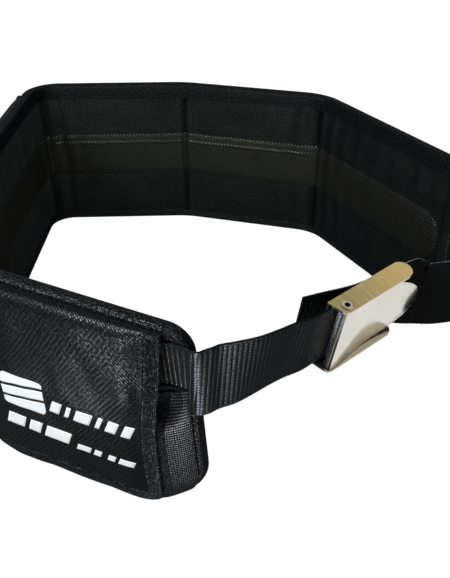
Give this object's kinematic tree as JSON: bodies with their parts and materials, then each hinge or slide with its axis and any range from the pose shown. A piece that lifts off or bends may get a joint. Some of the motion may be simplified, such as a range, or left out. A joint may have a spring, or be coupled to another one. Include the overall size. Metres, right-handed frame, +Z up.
{
  "type": "diving weight belt",
  "caption": "Padded pocket weight belt for diving: ring of flap-closed weight pockets, inner grip band, webbing and a stainless cam buckle at the front.",
  "frame": {"origin": "middle of the closed ring, on the plane its bottom edge rests on", "axes": "+Z up; the wearer's back is towards -X and +Y, the buckle is in front at -Y and +X, its strap running about 38 degrees from +X"},
  "size_m": [0.4368, 0.4528, 0.1507],
  "materials": {
    "lining_nylon": "matt black woven nylon",
    "outer_nylon": "satin black coated nylon twill",
    "foam": "closed-cell foam sheet, dark grey",
    "grip_mesh": "textured grip mesh, dark grey",
    "edge_tape": "woven black edge tape",
    "webbing": "ribbed black nylon webbing",
    "pocket_nylon": "matt black nylon",
    "flap_nylon": "satin black nylon twill",
    "hook_tape": "black hook tape",
    "loop_tape": "black loop tape",
    "lead": "dull cast lead",
    "steel": "bright stainless sheet",
    "polished_steel": "polished stainless sheet"
  },
  "bodies": {
    "belt": {"lining": "lining_nylon", "outer_shell": "outer_nylon", "inner_band": "grip_mesh", "edge_binding": "edge_tape", "webbing_left": "webbing", "webbing_right": "webbing", "buckle_frame": "steel", "buckle_pin": "steel", "foam_pad_1": "foam", "pocket_1": "pocket_nylon", "loop_strip_1": "loop_tape", "weight_1": "lead", "foam_pad_2": "foam", "pocket_2": "pocket_nylon", "loop_strip_2": "loop_tape", "weight_2": "lead", "foam_pad_3": "foam", "pocket_3": "pocket_nylon", "loop_strip_3": "loop_tape", "weight_3": "lead", "foam_pad_4": "foam", "pocket_4": "pocket_nylon", "loop_strip_4": "loop_tape", "weight_4": "lead", "foam_pad_5": "foam", "pocket_5": "pocket_nylon", "loop_strip_5": "loop_tape", "weight_5": "lead", "foam_pad_6": "foam", "pocket_6": "pocket_nylon", "loop_strip_6": "loop_tape", "weight_6": "lead"},
    "flap_1": {"flap_1": "flap_nylon", "hook_strip_1": "hook_tape"},
    "flap_2": {"flap_2": "flap_nylon", "hook_strip_2": "hook_tape"},
    "flap_3": {"flap_3": "flap_nylon", "hook_strip_3": "hook_tape"},
    "flap_4": {"flap_4": "flap_nylon", "hook_strip_4": "hook_tape"},
    "flap_5": {"flap_5": "flap_nylon", "hook_strip_5": "hook_tape"},
    "flap_6": {"flap_6": "flap_nylon", "hook_strip_6": "hook_tape"},
    "lever": {"buckle_lever": "polished_steel"}
  },
  "joints": [
    {"name": "flap_1_lift", "type": "hinge", "parent": "belt", "child": "flap_1", "pos_m": [-0.09226, -0.1861, 0.145], "axis": [-0.896, 0.4441, 0], "range_deg": [0, 130]},
    {"name": "flap_2_lift", "type": "hinge", "parent": "belt", "child": "flap_2", "pos_m": [-0.18532, -0.06043, 0.145], "axis": [-0.1606, 0.987, 0], "range_deg": [0, 130]},
    {"name": "flap_3_lift", "type": "hinge", "parent": "belt", "child": "flap_3", "pos_m": [-0.19769, 0.1031, 0.145], "axis": [0.0119, 0.9999, 0], "range_deg": [0, 130]},
    {"name": "flap_4_lift", "type": "hinge", "parent": "belt", "child": "flap_4", "pos_m": [-0.1099, 0.20381, 0.145], "axis": [0.9992, 0.0408, 0], "range_deg": [0, 130]},
    {"name": "flap_5_lift", "type": "hinge", "parent": "belt", "child": "flap_5", "pos_m": [0.03222, 0.18824, 0.145], "axis": [0.9658, -0.2593, 0], "range_deg": [0, 130]},
    {"name": "flap_6_lift", "type": "hinge", "parent": "belt", "child": "flap_6", "pos_m": [0.14769, 0.09214, 0.145], "axis": [0.4861, -0.8739, 0], "range_deg": [0, 130]},
    {"name": "lever_open", "type": "hinge", "parent": "belt", "child": "lever", "pos_m": [0.07044, -0.17589, 0.11694], "axis": [-0.0769, 0.2361, -0.9687], "range_deg": [0, 90]}
  ]
}
